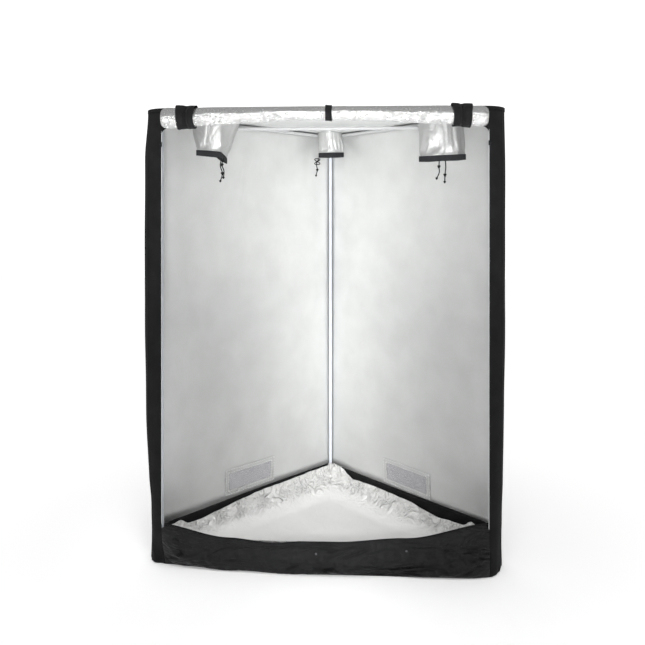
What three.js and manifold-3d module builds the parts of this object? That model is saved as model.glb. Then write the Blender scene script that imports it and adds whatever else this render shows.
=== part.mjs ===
// A corner tent: a fabric enclosure that stands in the corner of a room. Two flat walls
// meet at a right angle behind, the open door faces forward, and a tray lies on the floor.
// Millimetres, +Z up, the door faces -Y, and the origin is the centre of the footprint.
import * as THREE from "three";
import { mergeVertices } from "three/addons/utils/BufferGeometryUtils.js";
import Module from "manifold-3d";

// Driving dimensions
const WIDTH = 1420;
const HEIGHT = 1800;
const CORNER_RADIUS = 90; // plan radius of the two front corners
const FRONT_BOW = 14; // how far the front bulges between its corners
const FABRIC = 3; // thickness of a padded fabric panel
const SEAM = 0.3; // clearance between pieces that touch
const TUBE = { radius: 8, bore: 7, neck: 6.7, neckLength: 40, neckTaper: 6, sides: 12 };
const CONNECTOR = { radius: 10.5, reach: 46, shortReach: 23, boreStart: 14, tubeStart: 16 };
const CONNECTOR_CLEAR = 0.2; // between a connector and the fabric
const SOCKET = { straight: 8.4, bent: 9.3 };
const DOOR = { halfWidth: 634, tapeWidth: 8, tapeGap: 2, headerEnd: 88, headerMiddle: 58 };
const BASE_BAND_TOP = 125;
const SILL = { middle: 112, end: 172 }; // height of the low strip across the doorway
const VENT = { centre: 511, width: 235, height: 75, bottom: 149, border: 20, borderCloth: 1.2 };
const FLAP = { width: 270, height: 108, thickness: 2, hingeHeight: 135, standOff: 2.2 };
const SLEEVES = [
  { side: "left", x: -467, y: -255, radius: 94, length: 160, cuff: 22 },
  { side: "right", x: 467, y: -255, radius: 94, length: 176, cuff: 22 },
  { side: "back", x: 0, y: 308, radius: 60, length: 106, cuff: 23 },
];
const SLEEVE_CLOTH = 2;
const ROLL = { end: 40, middle: 28, halfLength: 618, gap: 4, top: 1797 }; // radii first
const STRAPS = [
  { side: "left", x: -520, width: 70 },
  { side: "centre", x: 22, width: 25 },
  { side: "right", x: 520, width: 70 },
];
const STRAP_THICKNESS = 1.6;
const STRAP_GAP = 1.2; // between the roll and a strap
const TAPE_THICKNESS = 2.4;
const TRAY = { floorInset: 52, rimInset: 30, height: 125, cloth: 2.5, rest: 0.4 };
const CORD = { radius: 2.2, sides: 8 };
const STUD = { height: 2, headRadius: 4, footRadius: 2.6 };
const STUDS = [{ side: "left", x: -28, z: 82 }, { side: "right", x: 318, z: 99 }];
const SLIDER = { height: 18, rest: 1668, gap: 0.5, wall: 1.4, mouth: 6, lug: 2 };
const PULL = { length: 32, thickness: 1.6, pin: 0.9, rim: 1.2, clear: 0.4, standOff: 4 };
const HANG_BAR = { y: -35, gap: 1, collarHalf: 9, collarOuter: 10.4, collarInner: 8.4 };
const PAST = 1; // how far a cutter reaches past what it cuts

// Plan of the tent: right half of each outline, mirrored for the left half
const SQRT2 = Math.SQRT2;
const CENTRE_X = WIDTH / 2 - CORNER_RADIUS;
const DEPTH = WIDTH / 2 + CORNER_RADIUS * SQRT2 + FRONT_BOW;
const BACK_Y = DEPTH / 2;
const CENTRE_Y = BACK_Y - CORNER_RADIUS * SQRT2 - CENTRE_X;
const BOW_RADIUS = (CENTRE_X ** 2 + FRONT_BOW ** 2) / (2 * FRONT_BOW);
const BOW_CENTRE_Y = BOW_RADIUS - BACK_Y;
const FRONT_TANGENT = Math.atan2(CENTRE_Y - BOW_CENTRE_Y, CENTRE_X);
const WALL_TANGENT = Math.PI / 4;
const WALL_LENGTH = (BACK_Y - CENTRE_Y) * SQRT2 - CORNER_RADIUS;

// Materials
const finish = (color, roughness, metalness) => ({ color, roughness, metalness });
const BLACK_CLOTH = finish(0x1c1c1e, 0.9, 0);
const SILVER_CLOTH = finish(0xc8cccb, 0.35, 0.6);
const WHITE_PAINT = finish(0xe4e9ec, 0.4, 0.1);
const CONNECTOR_PLASTIC = finish(0xd9dcdc, 0.5, 0);
const TRAY_CLOTH = finish(0xe2e2de, 0.6, 0);
const MESH_CLOTH = finish(0x3a3b3e, 0.8, 0);
const WEBBING = finish(0x141415, 0.85, 0);
const ZIP_METAL = finish(0x2b2c2e, 0.4, 0.8);
const STUD_METAL = finish(0xb9bcc0, 0.3, 1);

const wasm = await Module();
wasm.setup();

const tent = new THREE.Group();

function add(name, geometry, look, parent = tent) {
  const material = new THREE.MeshStandardMaterial(look);
  const mesh = new THREE.Mesh(geometry, material);
  mesh.name = name;
  parent.add(mesh);
  return mesh;
}

function mirrored(name, geometry, look) {
  add(`${name}_right`, geometry, look);
  add(`${name}_left`, mirrorX(geometry), look);
}

function mirrorX(geometry) {
  const copy = mergedPositions(geometry);
  copy.scale(-1, 1, 1);
  const index = copy.getIndex();
  for (let i = 0; i < index.count; i += 3) {
    const first = index.getX(i);
    index.setX(i, index.getX(i + 2));
    index.setX(i + 2, first);
  }
  return copy;
}

function mergedPositions(geometry) {
  const bare = geometry.clone();
  bare.deleteAttribute("normal");
  bare.deleteAttribute("uv");
  return mergeVertices(bare, 1e-4);
}

function toSolid(geometry) {
  const merged = mergedPositions(geometry);
  const mesh = new wasm.Mesh({
    numProp: 3,
    vertProperties: merged.getAttribute("position").array,
    triVerts: new Uint32Array(merged.getIndex().array),
  });
  mesh.merge();
  return new wasm.Manifold(mesh);
}

function toGeometry(solid) {
  const mesh = solid.getMesh();
  const geometry = new THREE.BufferGeometry();
  geometry.setAttribute("position", new THREE.BufferAttribute(mesh.vertProperties, 3));
  geometry.setIndex(new THREE.BufferAttribute(mesh.triVerts, 1));
  return geometry;
}

// Points of the plan outline
function bowPoint(inset, x) {
  const radius = BOW_RADIUS - inset;
  return new THREE.Vector2(x, BOW_CENTRE_Y - Math.sqrt(radius ** 2 - x ** 2));
}

function cornerPoint(inset, angle) {
  const radius = CORNER_RADIUS - inset;
  return new THREE.Vector2(
    CENTRE_X + radius * Math.cos(angle),
    CENTRE_Y + radius * Math.sin(angle),
  );
}

function cornerArc(inset, from, to, steps) {
  const points = [];
  for (let i = 0; i <= steps; i += 1) {
    points.push(cornerPoint(inset, THREE.MathUtils.lerp(from, to, i / steps)));
  }
  return points;
}

function bowArc(inset, from, to, steps) {
  const points = [];
  for (let i = 0; i <= steps; i += 1) {
    points.push(bowPoint(inset, THREE.MathUtils.lerp(from, to, i / steps)));
  }
  return points;
}

function flipX(points) {
  return points.map((p) => new THREE.Vector2(-p.x, p.y)).reverse();
}

function wholeOutline(inset, cornerSteps = 6, bowSteps = 10) {
  const tangentX = cornerPoint(inset, FRONT_TANGENT).x;
  const right = cornerArc(inset, FRONT_TANGENT, WALL_TANGENT, cornerSteps);
  const apex = new THREE.Vector2(0, BACK_Y - inset * SQRT2);
  const front = bowArc(inset, -tangentX, tangentX, bowSteps).slice(1, -1);
  return [...right, apex, ...flipX(right), ...front];
}

// The angle on the front corner whose outer point lies at x
const angleAtX = (x) => -Math.acos((x - CENTRE_X) / CORNER_RADIUS);
const TAPE_ANGLE = angleAtX(DOOR.halfWidth + DOOR.tapeWidth);
const SILL_ANGLE = TAPE_ANGLE - 2 * SEAM / CORNER_RADIUS;

function frontLine(inset, bowSteps = 12) {
  const right = cornerArc(inset, FRONT_TANGENT, SILL_ANGLE, 3);
  const tangentX = cornerPoint(inset, FRONT_TANGENT).x;
  const front = bowArc(inset, -tangentX, tangentX, bowSteps).slice(1, -1);
  return [...flipX(right), ...front, ...right];
}

// A flat plate with the given outline, standing from one height to another
function plate(points, bottom, top, holes = []) {
  const shape = new THREE.Shape(points);
  for (const hole of holes) {
    shape.holes.push(hole);
  }
  const geometry = new THREE.ExtrudeGeometry(shape, {
    depth: top - bottom, bevelEnabled: false, curveSegments: 16,
  });
  geometry.translate(0, 0, bottom);
  return geometry;
}

// A band of cloth that follows a line of the plan between two insets
function band(line, outerInset, innerInset, bottom, top) {
  return plate([...line(outerInset), ...line(innerInset).reverse()], bottom, top);
}

// A closed solid through rings of points that all have the same count: capped at both
// ends, or running round from the last ring to the first
function loft(rings, capped = true) {
  const count = rings[0].length;
  const positions = rings.flat().flatMap((p) => [p.x, p.y, p.z]);
  const index = [];
  const joins = capped ? rings.length - 1 : rings.length;
  for (let r = 0; r < joins; r += 1) {
    const next = (r + 1) % rings.length;
    for (let i = 0; i < count; i += 1) {
      const j = (i + 1) % count;
      index.push(r * count + i, r * count + j, next * count + j);
      index.push(r * count + i, next * count + j, next * count + i);
    }
  }
  if (capped) {
    index.push(...cap(rings[0], 0, true));
    index.push(...cap(rings.at(-1), (rings.length - 1) * count, false));
  }
  const geometry = new THREE.BufferGeometry();
  geometry.setAttribute("position", new THREE.Float32BufferAttribute(positions, 3));
  geometry.setIndex(index);
  return geometry;
}

// A fan of triangles over a convex ring
function cap(ring, first, reversed) {
  const faces = [];
  for (let i = 1; i < ring.length - 1; i += 1) {
    faces.push(first, first + (reversed ? i + 1 : i), first + (reversed ? i : i + 1));
  }
  return faces;
}

// A panel standing on a wall: s runs from the back corner, the plate grows inwards
function onRightWall(geometry, offset) {
  geometry.rotateX(Math.PI / 2);
  geometry.translate(0, offset, 0);
  geometry.rotateZ(-Math.PI / 4);
  geometry.translate(0, BACK_Y, 0);
  return geometry;
}

function rectangle(x0, y0, x1, y1) {
  return [[x0, y0], [x1, y0], [x1, y1], [x0, y1]].map(([x, y]) => new THREE.Vector2(x, y));
}

function wallPlate(s0, z0, s1, z1, thickness, inset, hole = null) {
  const holes = hole ? [new THREE.Path(rectangle(...hole))] : [];
  const geometry = plate(rectangle(s0, z0, s1, z1), 0, thickness, holes);
  return onRightWall(geometry, -inset);
}

const ventBox = (grow) => [
  VENT.centre - VENT.width / 2 - grow,
  VENT.bottom - grow,
  VENT.centre + VENT.width / 2 + grow,
  VENT.bottom + VENT.height + grow,
];

function addShell() {
  const low = FABRIC + SEAM;
  const high = HEIGHT - FABRIC - SEAM;
  const holes = SLEEVES.map((s) => {
    const hole = new THREE.Path();
    hole.absarc(s.x, s.y, s.radius - SLEEVE_CLOTH, 0, 2 * Math.PI, true);
    return hole;
  });
  add("floor_panel", plate(wholeOutline(0), 0, FABRIC), BLACK_CLOTH);
  add("ceiling_panel", plate(wholeOutline(0), HEIGHT - FABRIC, HEIGHT, holes), SILVER_CLOTH);

  const backSeam = { right: FABRIC + SEAM, left: 0 };
  for (const side of ["right", "left"]) {
    const start = backSeam[side];
    const lowBand = wallPlate(start, low, WALL_LENGTH - SEAM, BASE_BAND_TOP, FABRIC, 0);
    const wall = wallPlate(
      start, BASE_BAND_TOP + SEAM, WALL_LENGTH - SEAM, high, FABRIC, 0, ventBox(0),
    );
    const place = side === "right" ? (g) => g : mirrorX;
    add(`base_band_${side}`, place(lowBand), BLACK_CLOTH);
    add(`wall_${side}`, place(wall), SILVER_CLOTH);
  }

  const cornerLine = (inset) => cornerArc(inset, TAPE_ANGLE, WALL_TANGENT, 8);
  mirrored("corner_strip", band(cornerLine, 0, FABRIC, low, high), BLACK_CLOTH);
  add("front_sill", frontBand(0, FABRIC, () => low, sillTop), BLACK_CLOTH);
  add("door_header", frontBand(0, FABRIC, headerBottom, () => high), BLACK_CLOTH);
}

// Share of the way from the middle of the doorway to its end, squared
const endShare = (x) => (x / (DOOR.halfWidth + DOOR.tapeWidth)) ** 2;
const sillTop = (x) => THREE.MathUtils.lerp(SILL.middle, SILL.end, endShare(x));
const headerBottom = (x) => {
  return HEIGHT - THREE.MathUtils.lerp(DOOR.headerMiddle, DOOR.headerEnd, endShare(x));
};

// A band across the doorway whose lower and upper edges may be curved
function frontBand(outerInset, innerInset, lowAt, highAt) {
  const inner = frontLine(innerInset);
  const rings = frontLine(outerInset).map((p, i) => {
    const q = inner[i];
    const low = lowAt(p.x);
    const high = highAt(p.x);
    return [
      new THREE.Vector3(p.x, p.y, low),
      new THREE.Vector3(p.x, p.y, high),
      new THREE.Vector3(q.x, q.y, high),
      new THREE.Vector3(q.x, q.y, low),
    ];
  });
  return loft(rings.reverse());
}

function addVents() {
  const hole = ventBox(0);
  const mesh = ventBox(-SEAM);
  const border = ventBox(VENT.border);
  mirrored("vent_mesh", wallPlate(...mesh, FABRIC, 0), MESH_CLOTH);
  const frame = wallPlate(...border, VENT.borderCloth, FABRIC + SEAM, hole);
  mirrored("vent_frame", frame, SILVER_CLOTH);
  const flap = wallPlate(
    VENT.centre - FLAP.width / 2,
    FLAP.hingeHeight - FLAP.height,
    VENT.centre + FLAP.width / 2,
    FLAP.hingeHeight - FLAP.thickness / 2,
    FLAP.thickness,
    -FLAP.standOff - FLAP.thickness / 2,
  );
  mirrored("vent_flap", flap, BLACK_CLOTH);
}

// A ring that hangs below a height, with a hole through it
function ring(outer, inner, bottom, top, sides = 20) {
  const profile = [[inner, bottom], [outer, bottom], [outer, top], [inner, top], [inner, bottom]];
  const geometry = new THREE.LatheGeometry(
    profile.map(([x, y]) => new THREE.Vector2(x, y)), sides,
  );
  geometry.rotateX(Math.PI / 2);
  return geometry;
}

// Free ends of the drawcord that closes a cuff, as short runs below it
function cordTube(points) {
  const curve = new THREE.CatmullRomCurve3(points);
  const section = new THREE.Shape();
  section.absarc(0, 0, CORD.radius, 0, 2 * Math.PI, false);
  return new THREE.ExtrudeGeometry(section, {
    steps: 14, curveSegments: CORD.sides / 2, extrudePath: curve, bevelEnabled: false,
  });
}

function addDuctSleeves() {
  const ceiling = HEIGHT - FABRIC - SEAM;
  for (const { side, x, y, radius, length, cuff } of SLEEVES) {
    const cloth = ring(radius, radius - SLEEVE_CLOTH, ceiling - length, ceiling);
    cloth.translate(x, y, 0);
    add(`duct_sleeve_${side}`, cloth, SILVER_CLOTH);
    const hemTop = ceiling - length - SEAM;
    const hem = ring(radius + 1, radius - SLEEVE_CLOTH - 1, hemTop - cuff, hemTop);
    hem.translate(x, y, 0);
    add(`duct_cuff_${side}`, hem, BLACK_CLOTH);
  }
  for (const { name, points } of drawcordRuns(ceiling)) {
    add(name, cordTube(points.map((p) => new THREE.Vector3(...p))), WEBBING);
  }
}

// Each run starts just under the hem of its cuff and hangs free
function drawcordRuns(ceiling) {
  const [left, right, back] = SLEEVES;
  const run = (sleeve, degrees, drift, length) => {
    const angle = THREE.MathUtils.degToRad(degrees);
    const radius = sleeve.radius - SLEEVE_CLOTH / 2;
    const x = sleeve.x + radius * Math.cos(angle);
    const y = sleeve.y + radius * Math.sin(angle);
    const top = ceiling - sleeve.length - sleeve.cuff - 2 * SEAM - CORD.radius;
    return [
      [x, y, top],
      [x + drift * 0.7, y, top - length * 0.3],
      [x + drift * 0.2, y, top - length * 0.65],
      [x + drift, y, top - length],
    ];
  };
  return [
    { name: "drawcord_left_a", points: run(left, -54, -3, 92) },
    { name: "drawcord_left_b", points: run(left, -49, 3, 78) },
    { name: "drawcord_right_a", points: run(right, -99, -8, 69) },
    { name: "drawcord_right_b", points: run(right, -84, 3, 83) },
    { name: "drawcord_back", points: run(back, -165, -6, 83) },
  ];
}

// The door, rolled up under the top edge and held by three straps
const rollRadius = (x) => THREE.MathUtils.lerp(
  ROLL.middle, ROLL.end, Math.min(1, Math.abs(x) / ROLL.halfLength) ** 1.5,
);

function rollCentre(x) {
  const radius = rollRadius(x);
  const front = bowPoint(0, x).y;
  return new THREE.Vector3(x, front - ROLL.gap - radius, ROLL.top - radius);
}

function circleAcross(x, radius, sides) {
  const centre = rollCentre(x);
  const points = [];
  for (let i = 0; i < sides; i += 1) {
    const angle = 2 * Math.PI * i / sides;
    points.push(new THREE.Vector3(
      x,
      centre.y + radius * Math.cos(angle),
      centre.z + radius * Math.sin(angle),
    ));
  }
  return points;
}

function addDoorRoll() {
  const sides = 16;
  const stations = 12;
  const rings = [];
  for (let i = 0; i <= stations; i += 1) {
    const x = THREE.MathUtils.lerp(-ROLL.halfLength, ROLL.halfLength, i / stations);
    rings.push(circleAcross(x, rollRadius(x), sides).reverse());
  }
  add("door_roll", loft(rings.reverse()), SILVER_CLOTH);
  for (const { side, x, width } of STRAPS) {
    const edges = [x - width / 2, x + width / 2];
    const inner = edges.map((e) => circleAcross(e, rollRadius(e) + STRAP_GAP, sides));
    const outer = edges.map((e) => {
      return circleAcross(e, rollRadius(e) + STRAP_GAP + STRAP_THICKNESS, sides);
    });
    const strap = loft([outer[0], outer[1], inner[1], inner[0]], false);
    add(`roll_strap_${side}`, strap, WEBBING);
  }
}

function addZips() {
  const tapeLow = (x) => sillTop(x) + SEAM;
  const tapeHigh = (x) => tapeLow(x) + DOOR.tapeWidth;
  const sides = (FABRIC - TAPE_THICKNESS) / 2;
  const across = frontBand(sides, FABRIC - sides, tapeLow, tapeHigh);
  add("zip_tape_bottom", across, WEBBING);
  const start = cornerPoint(FABRIC / 2, angleAtX(DOOR.halfWidth));
  const end = cornerPoint(FABRIC / 2, TAPE_ANGLE - SEAM / CORNER_RADIUS);
  const along = end.clone().sub(start);
  const foot = SILL.end + DOOR.tapeWidth + 3 * SEAM;
  const head = HEIGHT - DOOR.headerEnd - DOOR.tapeGap;
  const place = (geometry) => {
    geometry.rotateZ(along.angle());
    geometry.translate(start.x, start.y, 0);
    return geometry;
  };
  const half = TAPE_THICKNESS / 2;
  const tape = plate(rectangle(0, -half, along.length(), half), foot, head);
  mirrored("zip_tape", place(tape), WEBBING);

  const slider = sliderGeometry(half);
  mirrored("zip_slider", place(slider), ZIP_METAL);
  mirrored("zip_pull", place(pullGeometry(half)), ZIP_METAL);
}

// The slider wraps the free edge of the tape; two lugs in front hold the pin of the pull
function sliderGeometry(half) {
  const inner = half + SLIDER.gap;
  const outer = inner + SLIDER.wall;
  const back = -SLIDER.gap - SLIDER.wall;
  const section = [
    [back, -outer], [SLIDER.mouth, -outer], [SLIDER.mouth, -inner], [-SLIDER.gap, -inner],
    [-SLIDER.gap, inner], [SLIDER.mouth, inner], [SLIDER.mouth, outer], [back, outer],
  ].map(([x, y]) => new THREE.Vector2(x, y));
  const body = toSolid(plate(section, SLIDER.rest - SLIDER.height, SLIDER.rest));
  const pin = pinPlace(half);
  const lugs = [back, SLIDER.mouth - SLIDER.wall].map((x) => {
    const root = -outer + SLIDER.wall / 2;
    const outline = rectangle(x, pin.y - SLIDER.lug, x + SLIDER.wall, root);
    return toSolid(plate(outline, pin.z - SLIDER.lug, pin.z + SLIDER.lug));
  });
  const rodPart = rod(
    PULL.pin,
    new THREE.Vector3(back + SLIDER.wall / 2, pin.y, pin.z),
    new THREE.Vector3(SLIDER.mouth - SLIDER.wall / 2, pin.y, pin.z),
    8,
  );
  return toGeometry(lugs.reduce((all, lug) => all.add(lug), body).add(rodPart));
}

// Where the pin of the pull lies, seen along the tape
function pinPlace(half) {
  const front = half + SLIDER.gap + SLIDER.wall;
  return { y: -front - PULL.standOff, z: SLIDER.rest - SLIDER.height / 2 };
}

// The pull hangs from its eye, which goes round the pin
function pullGeometry(half) {
  const pin = pinPlace(half);
  const eye = PULL.pin + PULL.clear;
  const rim = eye + PULL.rim;
  const profile = new THREE.Shape();
  profile.moveTo(PULL.thickness / 2, -PULL.length);
  profile.lineTo(PULL.thickness / 2, -rim);
  profile.lineTo(rim, -rim);
  profile.lineTo(rim, rim);
  profile.lineTo(-rim, rim);
  profile.lineTo(-rim, -rim);
  profile.lineTo(-PULL.thickness / 2, -rim);
  profile.lineTo(-PULL.thickness / 2, -PULL.length);
  const bore = new THREE.Path();
  bore.absarc(0, 0, eye, 0, 2 * Math.PI, true);
  profile.holes.push(bore);
  const left = -SLIDER.gap + PULL.clear;
  const width = SLIDER.mouth - SLIDER.wall - PULL.clear - left;
  const geometry = new THREE.ExtrudeGeometry(profile, {
    depth: width, bevelEnabled: false, curveSegments: 8,
  });
  geometry.rotateX(Math.PI / 2);
  geometry.rotateZ(Math.PI / 2);
  geometry.translate(left, pin.y, pin.z);
  return geometry;
}

// Posts and rails
const FRAME_INSET = FABRIC + SEAM + CONNECTOR.radius + CONNECTOR_CLEAR;
const POST = cornerPoint(FRAME_INSET, WALL_TANGENT);
const BACK_POST = new THREE.Vector2(0, BACK_Y - FRAME_INSET * SQRT2);
const BOTTOM_Z = FRAME_INSET;
const TOP_Z = HEIGHT - FRAME_INSET;

// Circles across a run of points, one at each point
function ringsAlong(points, radius, sides) {
  return points.map((point, i) => {
    const before = points[Math.max(i - 1, 0)];
    const after = points[Math.min(i + 1, points.length - 1)];
    const tangent = after.clone().sub(before).normalize();
    const across = new THREE.Vector3(0, 0, 1).cross(tangent).normalize();
    const lift = tangent.clone().cross(across);
    const circle = [];
    for (let k = 0; k < sides; k += 1) {
      const angle = 2 * Math.PI * k / sides;
      circle.push(point.clone()
        .addScaledVector(across, radius * Math.cos(angle))
        .addScaledVector(lift, radius * Math.sin(angle)));
    }
    return circle;
  });
}

function hollowTube(points) {
  const outside = ringsAlong(points, TUBE.radius, TUBE.sides);
  const inside = ringsAlong(points, TUBE.bore, TUBE.sides);
  return loft([...outside, ...inside.reverse()], false);
}

function straightTube(from, to) {
  return hollowTube([from, to]);
}

// A post in two lengths: the lower one ends in a narrow neck inside the upper one
function addPost(side, x, y) {
  const split = HEIGHT / 2;
  const bottom = BOTTOM_Z + CONNECTOR.tubeStart;
  const top = TOP_Z - CONNECTOR.tubeStart;
  const neckBore = TUBE.neck - (TUBE.radius - TUBE.bore);
  const neckTop = split + TUBE.neckLength;
  const profile = [
    [TUBE.bore, bottom], [TUBE.radius, bottom], [TUBE.radius, split],
    [TUBE.neck, split], [TUBE.neck, neckTop],
    [neckBore, neckTop], [neckBore, split - TUBE.neckTaper],
    [TUBE.bore, split - 2 * TUBE.neckTaper], [TUBE.bore, bottom],
  ].map(([r, z]) => new THREE.Vector2(r, z));
  const lower = new THREE.LatheGeometry(profile, TUBE.sides);
  lower.rotateX(Math.PI / 2);
  lower.translate(x, y, 0);
  add(`post_${side}_lower`, lower, WHITE_PAINT);
  const upper = ring(TUBE.radius, TUBE.bore, split + SEAM, top, TUBE.sides);
  upper.translate(x, y, 0);
  add(`post_${side}_upper`, upper, WHITE_PAINT);
}

// The bent front rail: round the corners, then along the bow
function frontRail(z) {
  const lift = (points) => points.map((p) => new THREE.Vector3(p.x, p.y, z));
  const start = WALL_TANGENT - CONNECTOR.tubeStart / (CORNER_RADIUS - FRAME_INSET);
  const right = cornerArc(FRAME_INSET, FRONT_TANGENT, start, 12);
  const tangentX = cornerPoint(FRAME_INSET, FRONT_TANGENT).x;
  const bow = bowArc(FRAME_INSET, -tangentX, tangentX, 8).slice(1, -1);
  return hollowTube(lift([...flipX(right), ...bow, ...right]));
}

function addFrame() {
  addPost("back", BACK_POST.x, BACK_POST.y);
  addPost("left", -POST.x, POST.y);
  addPost("right", POST.x, POST.y);
  const heading = new THREE.Vector3(1, -1, 0).normalize();
  for (const [level, z] of [["bottom", BOTTOM_Z], ["top", TOP_Z]]) {
    const back = new THREE.Vector3(BACK_POST.x, BACK_POST.y, z);
    const corner = new THREE.Vector3(POST.x, POST.y, z);
    const from = back.clone().addScaledVector(heading, CONNECTOR.tubeStart);
    const to = corner.clone().addScaledVector(heading, -CONNECTOR.tubeStart);
    mirrored(`wall_rail_${level}`, straightTube(from, to), WHITE_PAINT);
    add(`front_rail_${level}`, frontRail(z), WHITE_PAINT);
    const up = level === "bottom" ? 1 : -1;
    add(`connector_back_${level}`, backConnector(back, up), CONNECTOR_PLASTIC);
    mirrored(`connector_${level}`, frontConnector(corner, up), CONNECTOR_PLASTIC);
  }
}

function rod(radius, from, to, sides = 12) {
  const axis = to.clone().sub(from);
  const geometry = new THREE.CylinderGeometry(radius, radius, axis.length(), sides);
  const turn = new THREE.Quaternion().setFromUnitVectors(
    new THREE.Vector3(0, 1, 0), axis.clone().normalize(),
  );
  geometry.applyQuaternion(turn);
  geometry.translate(...from.clone().lerp(to, 0.5).toArray());
  return toSolid(geometry);
}

// Three sockets that meet at a point, one for each tube
function threeWay(centre, ways) {
  const arm = (way, radius, from, to) => rod(
    radius,
    centre.clone().addScaledVector(way.direction, from),
    centre.clone().addScaledVector(way.direction, to),
  );
  const ball = new THREE.SphereGeometry(CONNECTOR.radius, 12, 8);
  ball.translate(centre.x, centre.y, centre.z);
  const body = ways.reduce(
    (all, way) => all.add(arm(way, CONNECTOR.radius, 0, way.reach)), toSolid(ball),
  );
  return toGeometry(ways.reduce(
    (all, way) => all.subtract(arm(way, way.socket, CONNECTOR.boreStart, way.reach + PAST)),
    body,
  ));
}

function way(x, y, z, reach = CONNECTOR.reach, socket = SOCKET.straight) {
  return { direction: new THREE.Vector3(x, y, z).normalize(), reach, socket };
}

const backConnector = (centre, up) => {
  return threeWay(centre, [way(0, 0, up), way(1, -1, 0), way(-1, -1, 0)]);
};

// The front socket is short and points along the first chord of the bent rail
const frontConnector = (centre, up) => {
  const turn = CONNECTOR.shortReach / (CORNER_RADIUS - FRAME_INSET);
  const chord = cornerPoint(FRAME_INSET, WALL_TANGENT - turn).sub(POST);
  return threeWay(centre, [
    way(0, 0, up),
    way(-1, 1, 0),
    way(chord.x, chord.y, 0, CONNECTOR.shortReach, SOCKET.bent),
  ]);
};

// A bar under the ceiling, across the tent, with a collar round each wall rail
function addHangBar() {
  const railX = BACK_POST.y - HANG_BAR.y;
  const z = TOP_Z - 2 * TUBE.radius - HANG_BAR.gap;
  const bar = toSolid(straightTube(
    new THREE.Vector3(-railX, HANG_BAR.y, z), new THREE.Vector3(railX, HANG_BAR.y, z),
  ));
  const collar = (side, radius, half) => {
    const centre = new THREE.Vector3(side * railX, HANG_BAR.y, TOP_Z);
    const along = new THREE.Vector3(side, -1, 0).normalize();
    return rod(
      radius,
      centre.clone().addScaledVector(along, -half),
      centre.clone().addScaledVector(along, half),
      TUBE.sides,
    );
  };
  const { collarHalf, collarOuter, collarInner } = HANG_BAR;
  const whole = [-1, 1].reduce((all, side) => {
    const joined = all.add(collar(side, collarOuter, collarHalf));
    return joined.subtract(collar(side, collarInner, collarHalf + PAST));
  }, bar);
  add("hang_bar", toGeometry(whole), WHITE_PAINT);
}

// The loose tray: a flat floor with sides that lean out to the rim
function addTray() {
  const loop = (inset, z) => {
    return wholeOutline(inset).map((p) => new THREE.Vector3(p.x, p.y, z));
  };
  const rest = FABRIC + TRAY.rest;
  const top = rest + TRAY.height;
  const tray = loft([
    loop(TRAY.floorInset, rest),
    loop(TRAY.rimInset, top),
    loop(TRAY.rimInset + TRAY.cloth, top),
    loop(TRAY.floorInset + TRAY.cloth, rest + TRAY.cloth),
  ]);
  add("spill_tray", tray, TRAY_CLOTH);
}

function addStuds() {
  for (const { side, x, z } of STUDS) {
    const stud = new THREE.CylinderGeometry(STUD.headRadius, STUD.footRadius, STUD.height, 12);
    stud.translate(x, bowPoint(0, x).y - STUD.height / 2 - SEAM, z);
    add(`lip_stud_${side}`, stud, STUD_METAL);
  }
}

addShell();
addVents();
addDuctSleeves();
addDoorRoll();
addZips();
addFrame();
addHangBar();
addTray();
addStuds();

// The origin is the middle of the footprint
const box = new THREE.Box3().setFromObject(tent);
const middle = box.getCenter(new THREE.Vector3());
tent.position.set(-middle.x, -middle.y, 0);

export default tent;
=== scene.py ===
"""A corner tent with silver lining, an open front and its door rolled up under the top edge.

Metres, +Z up, the open front faces -Y and the back corner of the tent is at +Y.
"""

import math

import bpy
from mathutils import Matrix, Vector, noise


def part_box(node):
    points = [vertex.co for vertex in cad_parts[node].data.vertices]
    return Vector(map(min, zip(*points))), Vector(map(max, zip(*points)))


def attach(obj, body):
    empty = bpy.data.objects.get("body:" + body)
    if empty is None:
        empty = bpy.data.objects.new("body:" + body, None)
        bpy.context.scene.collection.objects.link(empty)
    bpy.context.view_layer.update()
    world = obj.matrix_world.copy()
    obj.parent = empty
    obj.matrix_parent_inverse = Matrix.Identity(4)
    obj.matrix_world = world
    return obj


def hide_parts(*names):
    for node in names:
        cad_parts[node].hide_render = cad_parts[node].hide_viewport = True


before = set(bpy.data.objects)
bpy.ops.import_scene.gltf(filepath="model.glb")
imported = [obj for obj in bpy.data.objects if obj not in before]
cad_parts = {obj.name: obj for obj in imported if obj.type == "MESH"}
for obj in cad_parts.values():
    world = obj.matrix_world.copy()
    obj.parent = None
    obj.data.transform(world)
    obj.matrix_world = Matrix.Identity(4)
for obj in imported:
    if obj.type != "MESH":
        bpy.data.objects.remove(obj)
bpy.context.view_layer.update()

# Sizes read from the frame
FLOOR_LOW, FLOOR_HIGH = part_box("floor_panel")
CEILING_LOW, CEILING_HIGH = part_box("ceiling_panel")
BAND_LOW, BAND_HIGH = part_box("base_band_right")
ROLL_LOW, ROLL_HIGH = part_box("door_roll")
TRAY_LOW, TRAY_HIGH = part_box("spill_tray")
HALF_WIDTH = FLOOR_HIGH[0]
FRONT_Y = FLOOR_LOW[1]
BACK_Y = FLOOR_HIGH[1]
TOP_Z = CEILING_HIGH[2]
MIDDLE = Vector((0, 0, TOP_Z / 2))
FOOT_Z = FLOOR_HIGH[2] + 0.0004  # lower edge of the cloth that stands on the floor panel

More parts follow.
